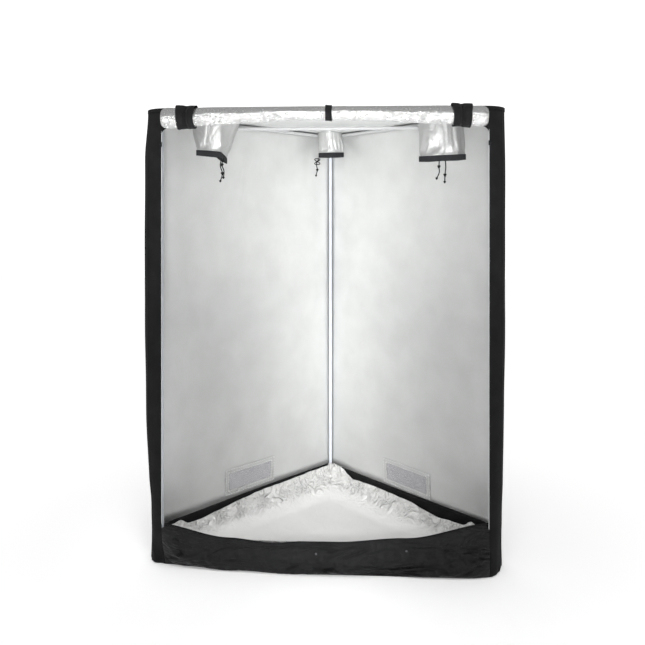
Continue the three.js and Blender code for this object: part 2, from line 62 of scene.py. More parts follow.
# Plan of the tent: two straight walls, two round corners and a slightly bowed front
CORNER_RADIUS = 0.09
CORNER_X = HALF_WIDTH - CORNER_RADIUS
CORNER_Y = BACK_Y - CORNER_RADIUS * math.sqrt(2) - CORNER_X
PLAN_MIDDLE = Vector((0, CORNER_Y + 0.12, 0))
BOW = CORNER_Y - CORNER_RADIUS - FRONT_Y
BOW_RADIUS = (CORNER_X**2 + BOW**2) / (2 * BOW)
BOW_ANGLE = math.asin(CORNER_X / (BOW_RADIUS - CORNER_RADIUS))
WALL_LENGTH = (BACK_Y - CORNER_Y) * math.sqrt(2) - CORNER_RADIUS
CORNER_ARC = CORNER_RADIUS * (0.75 * math.pi - BOW_ANGLE)
HALF_LENGTH = WALL_LENGTH + CORNER_ARC + BOW_RADIUS * BOW_ANGLE

SIDES = ((-1, "left"), (1, "right"))
DOOR_HALF = 0.634  # from the middle of the doorway to its free edge
CLOTH = 0.0012
TUBE = 0.008
FRAME_INSET = 0.014
RAIL_START = 0.0225  # where the wall rails start, along the wall from the back corner
RAIL_SHORT = 0.016  # how far short of the front posts' centres the rails end
VENT_MIDDLE = 0.511  # along the wall from the back corner
VENT_WIDTH = 0.235
VENT_LOW = 0.149
VENT_HIGH = 0.224
VENT_BORDER = 0.021
VENT_FIRST = VENT_MIDDLE - VENT_WIDTH / 2
VENT_LAST = VENT_MIDDLE + VENT_WIDTH / 2
FLAP_MARGIN = 0.0175  # how far the outer flap of a vent reaches past its mesh
STITCH_OUT = -0.0048  # the thread round a vent lies this far inside the wall's outline
SKIRT_TOP = 0.117  # where the silver of the walls ends
ZIP_TAPE = 0.010  # width of the woven tape of the zips before its edge is folded in
TAPE_THICKNESS = 0.001
STRAP_THICKNESS = 0.0014
HEM_THICKNESS = 0.0022
SLEEVE_FILM = 0.0009
DOOR_FILM = 0.0008
FLOOR_SHEET = 0.0022
SILL_HEIGHT = 0.135  # roughly, on average across the doorway
CUFF_HEIGHT = 0.022  # least height of a sleeve's hem
TRAY_CLEAR = 0.0022  # from the top of the CAD floor panel to the tray's cloth
TRAY_FLAT = (1.55, 1.0)  # estimated, with the sides laid out flat
TRAY_AREA = 0.80  # of the cloth, estimated
WIDE_STRAP = 0.05  # a strap wider than this is gathered at its middle
ROLL_END = 0.0435  # radii of the rolled door
ROLL_MIDDLE = 0.0275
ROLL_HALF = ROLL_HIGH[0]


# Camera

def add_camera():
    data = bpy.data.cameras.new("camera")
    data.sensor_width = 36
    data.lens = 36.2
    data.shift_y = -0.1605
    camera = link("camera", data)
    camera.location = (0.111, -2.876, 1.368)
    camera.rotation_euler = (math.pi / 2, 0, math.radians(2.62))
    bpy.context.scene.camera = camera


# Small helpers

def lerp(a, b, share):
    return a + (b - a) * share


def smooth(share):
    share = max(0.0, min(1.0, share))
    return share * share * (3 - 2 * share)


def steps(low, high, spacing):
    count = max(1, round((high - low) / spacing))
    return [lerp(low, high, i / count) for i in range(count + 1)]


def shares(count):
    return [i / count for i in range(count + 1)]


def round_angles(count):
    return [2 * math.pi * i / count for i in range(count)]


def ripple(a, b, c=0.0):
    """Smooth repeatable noise from -1 to 1."""
    return noise.noise(Vector((a, b, c)))


def along_curve(points, x):
    """Height at x on a smooth line through (x, height) points in order."""
    for (x0, z0), (x1, z1) in zip(points, points[1:]):
        if x <= x1:
            return lerp(z0, z1, smooth((x - x0) / (x1 - x0)))
    return points[-1][1]


def link(name, data, body=None):
    """Puts an object with that data in the scene, moving with that body if one is given."""
    piece = bpy.data.objects.new(name, data)
    bpy.context.scene.collection.objects.link(piece)
    if body:
        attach(piece, body)
    return piece


def stand_for(node):
    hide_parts(node)


def stand_for_sheet(piece, slot, node, **sheet):
    """Hides the CAD node that a piece of cloth stands in for."""
    stand_for(node)


def add_cloth(name, us, vs, place, looks, slot, thickness=CLOTH, fine=False, keep=None,
              body="tent", **sheet):
    """A grid turned outwards and given its thickness, in place of the CAD node of that name."""
    piece = add_grid(name, us, vs, place, looks, keep=keep, body=body)
    face_out(piece)
    if fine:
        refine(piece)
    thicken(piece, thickness, inner=len(looks) - 1)
    stand_for_sheet(piece, slot, name, **sheet)


def shown_mesh(piece):
    bpy.context.view_layer.update()
    shown = piece.evaluated_get(bpy.context.evaluated_depsgraph_get())
    return bpy.data.meshes.new_from_object(shown)


def add_mesh(name, vertices, faces, looks, body="tent"):
    mesh = bpy.data.meshes.new(name)
    mesh.from_pydata([tuple(v) for v in vertices], [], faces)
    for look in looks:
        mesh.materials.append(LOOKS[look])
    mesh.polygons.foreach_set("use_smooth", [True] * len(mesh.polygons))
    mesh.update()
    return link(name, mesh, body)


def grid_faces(rows, columns, closed=False, keep=None):
    faces = []
    for r in range(rows - 1):
        for c in range(columns if closed else columns - 1):
            d = (c + 1) % columns
            if keep is None or keep(r, c):
                faces.append((
                    r * columns + c, r * columns + d,
                    (r + 1) * columns + d, (r + 1) * columns + c,
                ))
    return faces


def add_grid(name, us, vs, place, looks, closed=False, capped=False, keep=None, body="tent"):
    """A surface through place(u, v), one row of vertices for each v. A closed grid joins its
    last column to its first, and a capped one has a face inside its first row."""
    vertices = [place(u, v) for v in vs for u in us]
    faces = grid_faces(len(vs), len(us), closed, keep)
    if capped:
        faces.append(tuple(reversed(range(len(us)))))
    return add_mesh(name, vertices, faces, looks, body)


def bake(piece):
    """Applies the piece's modifiers."""
    mesh = shown_mesh(piece)
    piece.modifiers.clear()
    piece.data = mesh


def thicken(piece, thickness, offset=-1.0, inner=0):
    """Turns a surface into cloth; inner is added to the material on the back."""
    solid = piece.modifiers.new("cloth", "SOLIDIFY")
    solid.thickness = thickness
    solid.offset = offset
    solid.material_offset = inner
    bake(piece)


def refine(piece, levels=1):
    subdivision = piece.modifiers.new("fine", "SUBSURF")
    subdivision.levels = levels
    subdivision.render_levels = levels
    bake(piece)


def crumple(piece, pinned, growth, frames=16, gravity=1.0, bending=0.5):
    """Lets cloth that is larger than its frame buckle between its pinned vertices."""
    group = piece.vertex_groups.new(name="pinned")
    group.add(sorted(pinned), 1.0, "REPLACE")
    cloth = piece.modifiers.new("crumple", "CLOTH")
    settings = cloth.settings
    settings.quality = 6
    settings.mass = 0.2
    settings.vertex_group_mass = "pinned"
    settings.shrink_min = -growth
    settings.tension_stiffness = 25
    settings.compression_stiffness = 25
    settings.bending_stiffness = bending
    settings.air_damping = 4
    settings.effector_weights.gravity = gravity
    cloth.point_cache.frame_end = frames
    for step in range(1, frames + 1):
        bpy.context.scene.frame_set(step)
    bake(piece)
    bpy.context.scene.frame_set(1)


# Materials

class Look:
    """A node material built on one shader."""

    def __init__(self, name, roughness, metallic=0.0):
        self.material = bpy.data.materials.new(name)
        self.material.use_nodes = True
        self.nodes = self.material.node_tree.nodes
        self.links = self.material.node_tree.links
        self.shader = self.nodes["Principled BSDF"]
        self.shader.inputs["Metallic"].default_value = metallic
        self.shader.inputs["Roughness"].default_value = roughness
        self.place = self.nodes.new("ShaderNodeTexCoord").outputs["Object"]
        self.relief = None

    def feed(self, socket, value):
        """Links another node's output to a socket, or sets the socket to a plain value."""
        if isinstance(value, bpy.types.NodeSocket):
            self.links.new(value, socket)
        else:
            socket.default_value = value

    def add(self, kind, inputs):
        node = self.nodes.new(f"ShaderNode{kind}")
        for name, value in inputs.items():
            self.feed(node.inputs[name], value)
        return node

    def noise(self, scale, detail=4.0, distortion=0.0):
        vector = (scale,) * 3 if isinstance(scale, (int, float)) else scale
        mapping = self.add("Mapping", {"Scale": vector, "Vector": self.place})
        return self.add("TexNoise", {
            "Vector": mapping.outputs["Vector"], "Scale": 1.0, "Detail": detail,
            "Distortion": distortion,
        }).outputs["Fac"]

    def bands(self, direction, per_metre):
        texture = self.add("TexWave", {"Vector": self.place, "Scale": per_metre / 3.2})
        texture.bands_direction = direction
        return texture.outputs["Fac"]

    def calculate(self, operation, first, second):
        node = self.add("Math", {0: first, 1: second})
        node.operation = operation
        return node.outputs["Value"]

    def color(self, share, dark, light):
        ramp = self.add("ValToRGB", {"Fac": share})
        for element, at, color in zip(ramp.color_ramp.elements, (0.3, 0.7), (dark, light)):
            element.position = at
            element.color = (*color, 1)
        self.feed(self.shader.inputs["Base Color"], ramp.outputs["Color"])

    def rough(self, share, low, high):
        """Roughness from low to high as the share goes from 0 to 1."""
        ranged = self.add("MapRange", {"Value": share, "To Min": low, "To Max": high})
        self.feed(self.shader.inputs["Roughness"], ranged.outputs["Result"])

    def where(self, output, first, last):
        """Grows from 0 to 1 as the height on the object, or the slope of the surface when the
        output is "Normal", goes from first to last."""
        source = self.place
        if output == "Normal":
            source = self.add("NewGeometry", {}).outputs["Normal"]
        height = self.add("SeparateXYZ", {"Vector": source}).outputs["Z"]
        ranged = self.add("MapRange", {"Value": height, "From Min": first, "From Max": last})
        return ranged.outputs["Result"]

    def creases(self, scale, detail=4.0):
        """Sharp valleys, as crushed cloth keeps."""
        shifted = self.calculate("SUBTRACT", self.noise(scale, detail, 1.5), 0.5)
        return self.calculate("ABSOLUTE", shifted, 0.0)

    def bump(self, height, depth, share=None):
        """Adds relief of that depth in metres on top of what is there."""
        inputs = {"Distance": depth, "Height": height}
        if share:
            inputs["Strength"] = share
        if self.relief:
            inputs["Normal"] = self.relief
        self.relief = self.add("Bump", inputs).outputs["Normal"]
        self.feed(self.shader.inputs["Normal"], self.relief)


def silver_film(name, crease, depth, roughness=0.4, light=0.64, crushed=0.0):
    look = Look(name, roughness, 0.5)
    if crushed:
        look.bump(look.creases(80, 3), crushed)
    tint = (0.99, 1.0, 0.99)
    look.color(look.noise(9, 5), [0.92 * light * part for part in tint],
               [light * part for part in tint])
    look.rough(look.noise(60, 3), roughness - 0.06, roughness + 0.1)
    look.bump(look.noise(crease, 6, 1.2), depth)
    look.bump(look.noise(330, 2), 0.0006)
    return look.material


def woven(name, dark, light, per_metre=700, sheen=0.03, roughness=0.85, specular=0.12,
          creased=False):
    look = Look(name, roughness)
    if creased:
        look.bump(look.creases((3.5, 3.5, 12), 2), 0.06)
        look.bump(look.noise((1.5, 1.5, 9), 2, 0.5), 0.04)
    look.color(look.noise(14, 6), dark, light)
    weave = look.calculate("MAXIMUM", look.bands("X", per_metre), look.bands("Z", per_metre))
    look.bump(look.noise(11, 4, 0.6), 0.004)
    look.bump(weave, 0.0003)
    look.shader.inputs["Sheen Weight"].default_value = sheen
    look.shader.inputs["Sheen Roughness"].default_value = 0.5
    look.shader.inputs["Specular IOR Level"].default_value = specular
    return look.material


def crushed_film_with_painted_highlight(name):
    """Film that is smooth where it faces up and crushed where it faces down, with a painted
    highlight: its colour is lighter where it faces down.
    """
    look = Look(name, 0.24, 0.9)
    lower = look.where("Normal", 0.30, -0.10)
    # painted highlight: the colour is lighter where the film faces down, giving the underside of
    # the roll a bright band
    look.color(lower, (0.60, 0.605, 0.60), (0.90, 0.905, 0.90))
    look.rough(look.noise(60, 3), 0.2, 0.32)
    look.bump(look.noise((5, 12, 12), 3), 0.006)
    look.bump(look.creases((45, 60, 60)), 0.018, lower)
    look.bump(look.noise((150, 190, 190), 4, 1.0), 0.0025, lower)
    return look.material


def coated_cloth(name):
    """Cloth that is crushed on the sides of the tray and smooth on its floor."""
    look = Look(name, 0.5)
    look.color(look.noise(6, 5), (0.66, 0.658, 0.648), (0.72, 0.718, 0.708))
    look.rough(look.noise(25, 3), 0.38, 0.6)
    side = look.where("Object", 0.012, 0.045)
    look.bump(look.noise(9, 5, 0.8), 0.004)
    look.bump(look.creases(16, 3), 0.065, side)
    look.bump(look.creases(45, 3), 0.012, side)
    look.bump(look.noise(400, 2), 0.0004)
    return look.material


def powder_coat(name, light, coat=0.2, specular=0.5):
    look = Look(name, 0.35)
    look.color(look.noise(20, 3), [0.94 * part for part in light], light)
    look.rough(look.noise(80, 2), 0.28, 0.42)
    look.bump(look.noise(900, 2), 0.0001)
    look.shader.inputs["Coat Weight"].default_value = coat
    look.shader.inputs["Specular IOR Level"].default_value = specular
    return look.material


def moulded(name, dark, light, roughness=0.5):
    look = Look(name, roughness)
    look.color(look.noise(30, 3), dark, light)
    look.rough(look.noise(120, 3), roughness - 0.08, roughness + 0.1)
    look.bump(look.noise(1400, 2), 0.00008)
    return look.material


def metal(name, color, roughness):
    look = Look(name, roughness, 1.0)
    look.color(look.noise(60, 3), tuple(0.85 * c for c in color), color)
    look.rough(look.noise((40, 40, 900), 2), roughness - 0.08, roughness + 0.12)
    look.bump(look.noise(1500, 2), 0.00005)
    return look.material


LOOKS = {
    "silver": silver_film("silver", (5, 5, 2.5), 0.004),
    # painted shade: the sleeves get a darker copy of the walls' silver
    "silver_soft_painted_shade": silver_film("silver_soft_painted_shade", (14, 14, 9), 0.010, 0.42, 0.45),
    # painted light: the ceiling gets a lighter copy of the walls' silver
    "silver_roof_painted_light": silver_film("silver_roof_painted_light", (4, 4, 4), 0.006, light=0.86),
    "silver_border": silver_film("silver_border", (55, 55, 55), 0.008, 0.32, 0.62, crushed=0.012),
    "silver_crushed_painted_highlight": crushed_film_with_painted_highlight("silver_crushed_painted_highlight"),
    "black": woven("black", (0.008, 0.008, 0.0085), (0.013, 0.013, 0.0135), sheen=0.01),
    "black_sill": woven(
        "black_sill", (0.003, 0.003, 0.0035), (0.007, 0.007, 0.0075), sheen=0.005, roughness=0.36,
        specular=0.24, creased=True,
    ),
    "webbing": woven("webbing", (0.005, 0.005, 0.0055), (0.010, 0.010, 0.0105), 450, specular=0.2),
    "cuff": woven("cuff", (0.016, 0.0165, 0.018), (0.028, 0.029, 0.031), 350),
    "mesh": woven("mesh", (0.32, 0.314, 0.335), (0.37, 0.364, 0.385), 900),
    "thread": woven("thread", (0.84, 0.84, 0.82), (0.95, 0.95, 0.93), 1500),
    "tray": coated_cloth("tray"),
    "steel": powder_coat("steel", (0.62, 0.65, 0.70)),
    "steel_shaded": powder_coat("steel_shaded", (0.45, 0.455, 0.46), 0.0, 0.05),
    "plastic": moulded("plastic", (0.66, 0.68, 0.70), (0.76, 0.78, 0.79)),
    "zip": metal("zip", (0.035, 0.035, 0.04), 0.45),
    "stud": metal("stud", (0.16, 0.16, 0.17), 0.5),
    "coil": moulded("coil", (0.50, 0.51, 0.52), (0.66, 0.67, 0.68), 0.45),
}


# The plan outline

def outline(q, inset=0.0):
    """Place and outward direction at the distance q along the plan: 0 at the back corner,
    positive to the right, HALF_LENGTH at the middle of the front."""
    side = 1 if q >= 0 else -1
    d = abs(q)
    if d <= WALL_LENGTH:
        normal = Vector((math.sqrt(0.5), math.sqrt(0.5), 0))
        x, y = d * math.sqrt(0.5), BACK_Y - d * math.sqrt(0.5)
    elif d <= WALL_LENGTH + CORNER_ARC:
        angle = math.pi / 4 - (d - WALL_LENGTH) / CORNER_RADIUS
        normal = Vector((math.cos(angle), math.sin(angle), 0))
        x = CORNER_X + CORNER_RADIUS * normal.x
        y = CORNER_Y + CORNER_RADIUS * normal.y
    else:
        angle = (HALF_LENGTH - d) / BOW_RADIUS
        normal = Vector((math.sin(angle), -math.cos(angle), 0))
        x = BOW_RADIUS * normal.x
        y = FRONT_Y + BOW_RADIUS * (1 - math.cos(angle))
    place = Vector((x, y, 0)) - normal * inset
    return Vector((side * place.x, place.y, 0)), Vector((side * normal.x, normal.y, 0))


def distance_at(x):
    """Distance along the plan of the front point whose x is given, on the right side."""
    if x <= CORNER_X:
        return HALF_LENGTH - BOW_RADIUS * math.asin(x / BOW_RADIUS)
    angle = -math.acos((x - CORNER_X) / CORNER_RADIUS)
    return WALL_LENGTH + CORNER_RADIUS * (math.pi / 4 - angle)


DOOR_EDGE = distance_at(DOOR_HALF)
DOORWAY = 2 * (HALF_LENGTH - DOOR_EDGE)  # along the bowed front, from zip to zip
DOOR_HEIGHT = 1.60  # from the sill to the header, on average across the doorway
CORNER_MIDDLE = WALL_LENGTH + 0.098
# How far the front corners are drawn in at each height, and the foot of the tent at each x
PINCH = (
    (0.0, 0.014), (0.03, 0.016), (0.06, 0.020), (0.11, 0.021), (0.18, 0.016),
    (0.34, 0.008), (0.66, 0.004), (1.0, 0.0), (1.8, 0.0),
)
FOOT = (
    (-0.71, 0.004), (-0.70, 0.018), (-0.66, 0.037), (-0.60, 0.036), (-0.544, 0.028),
    (-0.36, 0.012), (-0.1, 0.0), (0.2, 0.0), (0.43, -0.008), (0.56, -0.012),
    (0.64, -0.004), (0.69, 0.012), (0.71, 0.0),
)


def slack(q, z):
    """How far the front of the shell is drawn in, mostly above the bottom rail and at the
    left foot; it swells a little at the right foot."""
    beside = abs(q) - CORNER_MIDDLE
    beside /= 0.055 if beside > 0 else 0.036
    pinch = along_curve(PINCH, z)
    pinch -= (0.013 if q < 0 else 0.003) * smooth((z - 0.2) / 0.4) * smooth((TOP_Z - z) / 0.2)
    pinch *= math.exp(-beside * beside)
    if abs(q) < WALL_LENGTH + 0.02:
        return pinch
    foot = along_curve(FOOT, outline(q)[0].x)
    foot *= math.exp(-((z / 0.10) ** 2))
    return pinch + (foot if foot < 0 else max(0.0, foot - max(0.0, pinch)))


def shell(q, z, inset=0.0):
    place, _ = outline(q, inset + slack(q, z))
    return Vector((place.x, place.y, z))


# Shell

def wall_place(side):
    def place(d, z):
        q = side * d
        edge = smooth((d - 0.02) / 0.12) * smooth((WALL_LENGTH - d) / 0.10)
        ends = smooth((z - SKIRT_TOP) / 0.10) * smooth((TOP_Z - z) / 0.12)
        soft = 0.0045 * ripple(d * 5.0, z * 1.1, side) + 0.0022 * ripple(d * 12, z * 3.4, 5 + side)
        bulge = 0.004 + soft
        return shell(q, z, 0.0006 + edge * ends * bulge)
    return place


def skirt_top(q):
    """Lower edge of the silver: it isn't quite level along the tent."""
    return SKIRT_TOP + 0.014 * q / WALL_LENGTH * smooth(abs(q) / WALL_LENGTH)


def in_vent(d, z):
    """Whether the face whose lower corner is there lies in the opening of a vent."""
    nearly = 1e-6
    across = VENT_FIRST - nearly <= d < VENT_LAST - nearly
    return across and VENT_LOW - nearly <= z < VENT_HIGH - nearly


def add_walls():
    for side, name in SIDES:
        us = steps(0.004, VENT_FIRST, 0.02) + steps(VENT_FIRST, VENT_LAST, 0.02)[1:]
        us += steps(VENT_LAST, WALL_LENGTH, 0.02)[1:]
        rows = [0.0] + steps(VENT_LOW, VENT_HIGH, 0.02) + steps(VENT_HIGH, TOP_Z - 0.003, 0.022)[1:]
        place = wall_place(side)

        def lifted(d, z):
            return place(d, skirt_top(side * d) if z == 0.0 else z)

        def solid(row, column):
            return not in_vent(us[column], rows[row])

        add_cloth(
            f"wall_{name}", us, rows, lifted, ["black", "silver"], "silver_cloth",
            keep=solid, flat=(WALL_LENGTH, TOP_Z - SKIRT_TOP), held="stretched",
            rests_on=[f"wall_rail_top_{name}"],
        )
        add_skirt(side, name, us)


def face_out(piece):
    """Turns the faces so that their front is on the outside of the tent."""
    outward = sum(p.normal.dot(p.center - MIDDLE) * p.area for p in piece.data.polygons)
    if outward < 0:
        piece.data.flip_normals()


def add_skirt(side, name, us):
    low = FOOT_Z

    def place(d, v):
        z = lerp(low, skirt_top(side * d) - 0.0006, v)
        return shell(side * d, z, 0.0008 + 0.0015 * ripple(d * 9, z * 30, 2 + side) ** 2)

    add_cloth(
        f"base_band_{name}", us, shares(8), place, ["black"], "black_cloth",
        flat=(WALL_LENGTH, SKIRT_TOP), held="stretched", rests_on=["floor_panel"],
    )


STRIP_SEAM = CORNER_MIDDLE + 0.035  # a welt runs up each front corner here


def add_corner_strips():
    for side, name in SIDES:
        ds = steps(WALL_LENGTH + 0.0004, DOOR_EDGE - 0.0005, 0.004)
        zs = steps(FOOT_Z, TOP_Z - 0.0035, 0.02)

        def place(d, z):
            free = smooth((d - WALL_LENGTH - 0.02) / 0.1)
            soft = 0.0020 * ripple(d * 20, z * 4.2, 7 + side) * free
            welt = 0.0022 * math.exp(-(((d - STRIP_SEAM) / 0.004) ** 2))
            return shell(side * d, z, 0.0006 + soft - welt)

        add_cloth(
            f"corner_strip_{name}", ds, zs, place, ["black", "silver"],
            "black_cloth", flat=(DOOR_EDGE - WALL_LENGTH, TOP_Z), held="stretched",
            rests_on=[f"post_{name}_lower"],
        )


def add_bindings():
    """Narrow black tapes cover the seams of the walls with each other and with the ceiling."""
    def beside_corner(d, z):
        return shell(d, z, -0.0009)

    def over_edge(q, v):
        return shell(q, TOP_Z + (-0.012 if v == 0 else 0.0004), 0.011 if v == 2 else -0.0009)

    corner = add_grid("binding_back", [-0.012, -0.001, 0.001, 0.012],
                      steps(FLOOR_HIGH[2], TOP_Z - 0.001, 0.1), beside_corner, ["black"])
    top = add_grid("binding_top", plan_loop(), [0, 1, 2], over_edge, ["black"], closed=True)
    for tape in (corner, top):
        face_out(tape)
        thicken(tape, CLOTH)


FILLET = 0.026  # radius of the upper corners of the doorway
FILLET_STEPS = [0.0, 0.002, 0.005, 0.009, 0.014, 0.02, 0.028, 0.036, 0.044]
SILL_EDGE = (
    (-0.66, 0.176), (-0.37, 0.127), (-0.19, 0.112), (-0.085, 0.121),
    (0.05, 0.122), (0.31, 0.141), (0.66, 0.203),
)


def front_q(t):
    """Distance along the plan for a place t across the front, from -1 left to 1 right."""
    q = HALF_LENGTH - abs(t) * (HALF_LENGTH - DOOR_EDGE)
    return q if t >= 0 else -q


# Height of each fold of the sill at the middle of the doorway and at its ends
SILL_FOLDS = ((0.022, 0.060), (0.036, 0.100), (0.060, 0.142), (0.088, 0.158))


def sill_folds(x, z):
    """Relief of the sill: it hangs in long folds from the ends of the doorway."""
    to_end = min(1.0, abs(x) / DOOR_HALF)
    relief = 0.0
    for i, (middle, end) in enumerate(SILL_FOLDS):
        above = (z - lerp(middle, end, to_end**1.6) - 0.004 * ripple(x * 6, i)) / 0.0085
        strength = 0.5 + 0.5 * ripple(x * 5, 3 * i + 1)
        valley = 0.6 * math.exp(-((above + 1.6) ** 2))
        relief += 0.0050 * strength * (math.exp(-above * above) - valley)
    wrinkles = 0.0050 * ripple(x * 24, z * 40, 2) + 0.003 * ripple(x * 60, z * 90, 4)
    relief = 1.6 * relief + wrinkles * smooth((to_end - 0.35) / 0.5)
    relief *= smooth((DOOR_HALF - abs(x)) / 0.035)  # flat beside the sliders
    return max(relief, lerp(0.0005, -0.006, smooth((z - 0.03) / 0.03)))  # clear of the rail


def add_sill():
    ts = [i / 110 for i in range(-110, 111)]
    low = FOOT_Z
    rows = 36

    def place(t, v):
        q = front_q(t)
        x = outline(q)[0].x
        top = along_curve(SILL_EDGE, x) - 0.015 * smooth((abs(x) - 0.620) / 0.008)
        z = lerp(low, top, v)
        edge = smooth(v / 0.1) * smooth((1 - v) / 0.06)
        lean = 0.004 * math.sin(math.pi * v) + edge * sill_folds(x, z)
        return shell(q, z, 0.001 + 0.004 * (1 - abs(t)) * v - lean)

    sill = add_grid(
        "front_sill", ts, shares(rows), place, ["black_sill"],
    )
    face_out(sill)
    count = len(ts)
    edge = {i for i in range(count)} | {rows * count + i for i in range(count)}
    edge |= {r * count for r in range(rows)} | {r * count + count - 1 for r in range(rows)}
    crumple(sill, edge, 0.012, bending=0.3, gravity=0.4)
    refine(sill)
    thicken(sill, CLOTH)
    stand_for_sheet(
        sill, "black_cloth", "front_sill", flat=(DOORWAY, SILL_HEIGHT), held="stretched",
        rests_on=["front_rail_bottom"],
    )
    return sill


def add_header():
    ts = [i / 40 for i in range(-40, 41)]
    ts = [-1 + t for t in FILLET_STEPS] + ts[1:-1] + [1 - t for t in reversed(FILLET_STEPS)]
    ts = sorted(set(ts))
    end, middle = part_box("door_header")[0][2] + 0.007, TOP_Z - 0.048

    def place(t, v):
        q = front_q(t)
        rest = FILLET - min(FILLET, DOOR_HALF - abs(outline(q)[0].x))
        drop = FILLET - math.sqrt(max(0.0, FILLET**2 - rest**2))
        z = lerp(lerp(middle, end, t * t) - drop, TOP_Z - 0.0035, v)
        return shell(q, z, 0.0008)

    tallest, lowest = TOP_Z - end, TOP_Z - middle
    add_cloth(
        "door_header", ts, shares(6), place, ["black", "silver"], "black_cloth",
        flat=(DOORWAY, tallest), held="stretched", rests_on=["front_rail_top"],
        area=DOORWAY * lerp(lowest, tallest, 1 / 3),
    )


def plan_place(q, share, z):
    """A point between the middle of the plan (share 0) and its outline (share 1)."""
    place, _ = outline(q, (0.004 if z < SKIRT_TOP else 0.001) + slack(q, z))
    flat = PLAN_MIDDLE.lerp(place, share)
    return Vector((flat.x, flat.y, z))


def plan_loop():
    fixed = [-WALL_LENGTH - CORNER_ARC, -WALL_LENGTH, 0.0, WALL_LENGTH, WALL_LENGTH + CORNER_ARC]
    spans = zip([-HALF_LENGTH] + fixed, fixed + [HALF_LENGTH])
    loop = []
    for low, high in spans:
        spacing = 0.012 if high - low < 0.25 else 0.025
        loop += steps(low, high, spacing)[:-1]
    return loop


def plan_area():
    corners = [outline(q)[0] for q in plan_loop()]
    return abs(sum(a.x * b.y - b.x * a.y for a, b in zip(corners, corners[1:] + corners[:1]))) / 2


def add_ceiling():
    rings = [0.02] + steps(0.08, 1.0, 0.06)

    def place(q, share):
        point = plan_place(q, share, TOP_Z - 0.0008)
        free = smooth((1 - share) / 0.5)
        sag = 0.007 * free + 0.004 * free * ripple(point.x * 3.2, point.y * 3.2, 3)
        point.z -= sag
        return point

    ceiling = add_grid(
        "ceiling_panel", plan_loop(), rings, place, ["black", "silver_roof_painted_light"],
        closed=True, capped=True,
    )
    thicken(ceiling, CLOTH, inner=1)
    for name in ("left", "right", "back"):
        cut_hole(ceiling, name)
    openings = sum(math.pi * sleeve_size(name)[1] ** 2 for name in ("left", "right", "back"))
    stand_for_sheet(
        ceiling, "silver_cloth", "ceiling_panel", flat=(2 * HALF_WIDTH, BACK_Y - FRONT_Y),
        held="stretched", rests_on=["front_rail_top"], area=plan_area() - openings,
    )


def sleeve_size(name):
    """The x and y of a duct sleeve's axis, its radius, and its lower and upper height."""
    low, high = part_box(f"duct_sleeve_{name}")
    axis = (low[0] + high[0]) / 2, (low[1] + high[1]) / 2
    return axis, (high[0] - low[0]) / 2, low[2], high[2]


def cut_hole(piece, name):
    axis, radius, _, _ = sleeve_size(name)
    radius -= 0.001
    sides = 48
    centre = Vector((*axis, TOP_Z))
    ring = [
        centre + Vector((radius * math.cos(a), radius * math.sin(a), 0))
        for a in round_angles(sides)
    ]
    past = Vector((0, 0, 0.05))
    below = [p - past for p in ring]
    above = [p + past for p in ring]
    faces = grid_faces(2, sides, closed=True)
    faces += [tuple(reversed(range(sides))), tuple(range(sides, 2 * sides))]
    cutter = add_mesh("cutter", below + above, faces, [], body=None)
    cut = piece.modifiers.new("hole", "BOOLEAN")
    cut.operation = "DIFFERENCE"
    cut.solver = "EXACT"
    cut.object = cutter
    bake(piece)
    bpy.data.objects.remove(cutter)


def add_floor():
    rings = [0.02] + steps(0.1, 1.0, 0.09)

    def place(q, share):
        return plan_place(q, share, FLOOR_LOW[2] + 0.0005)

    floor = add_grid(
        "floor_panel", plan_loop(), rings, place, ["black"], closed=True, capped=True,
    )
    thicken(floor, FLOOR_SHEET, offset=1.0)
    stand_for_sheet(
        floor, "black_cloth", "floor_panel", flat=(2 * HALF_WIDTH, BACK_Y - FRONT_Y),
        held="laid", area=plan_area(),
    )


# Door roll and straps

def roll_radius(x):
    return lerp(ROLL_MIDDLE, ROLL_END, min(1.0, abs(x) / ROLL_HALF) ** 1.5)


def roll_axis(x):
    front = FRONT_Y + BOW_RADIUS - math.sqrt(BOW_RADIUS**2 - x * x)
    radius = roll_radius(x)
    return Vector((x, front - 0.004 - radius, ROLL_HIGH[2] - radius))


def roll_point(x, angle, share=1.0, clear=0.0):
    """A point on the rolled door: share 1 is its outside, smaller shares lie inside."""
    squeeze = 1.0
    for strap in STRAPS:
        squeeze -= 0.06 * math.exp(-((x - strap[0]) / (0.6 * strap[1])) ** 2)
        if strap[1] > WIDE_STRAP:
            in_front = smooth(0.3 - math.cos(angle))
            squeeze -= 0.34 * in_front * math.exp(-(((x - strap[0]) / 0.008) ** 2))
    around = (math.cos(angle), math.sin(angle))
    lower = 0.15 + 0.85 * smooth((0.15 - around[1]) / 0.5)
    crush = 0.045 * ripple(x * 7, around[0] * 2.2, around[1] * 2.2)
    crush += 0.050 * lower * abs(ripple(x * 30, around[0] * 4.5, around[1] * 4.5 + 3))
    crush += 0.045 * lower * ripple(x * 85, around[0] * 9, around[1] * 9)
    pucker = 0.16 * math.exp(-((x - 0.065) / 0.035) ** 2)
    crush += pucker * ripple(x * 45, around[1] * 3, 9)
    to_end = max(0.0, (abs(x) - ROLL_HALF + 0.024) / 0.024)
    rounded = 1 - 0.30 * to_end**2
    radius = roll_radius(x) * share * squeeze * rounded * (0.98 + crush) + clear
    return roll_axis(x) + Vector((0, radius * around[0], radius * around[1]))


STRAPS = ((-0.520, 0.070, "left"), (0.022, 0.025, "centre"), (0.520, 0.070, "right"))


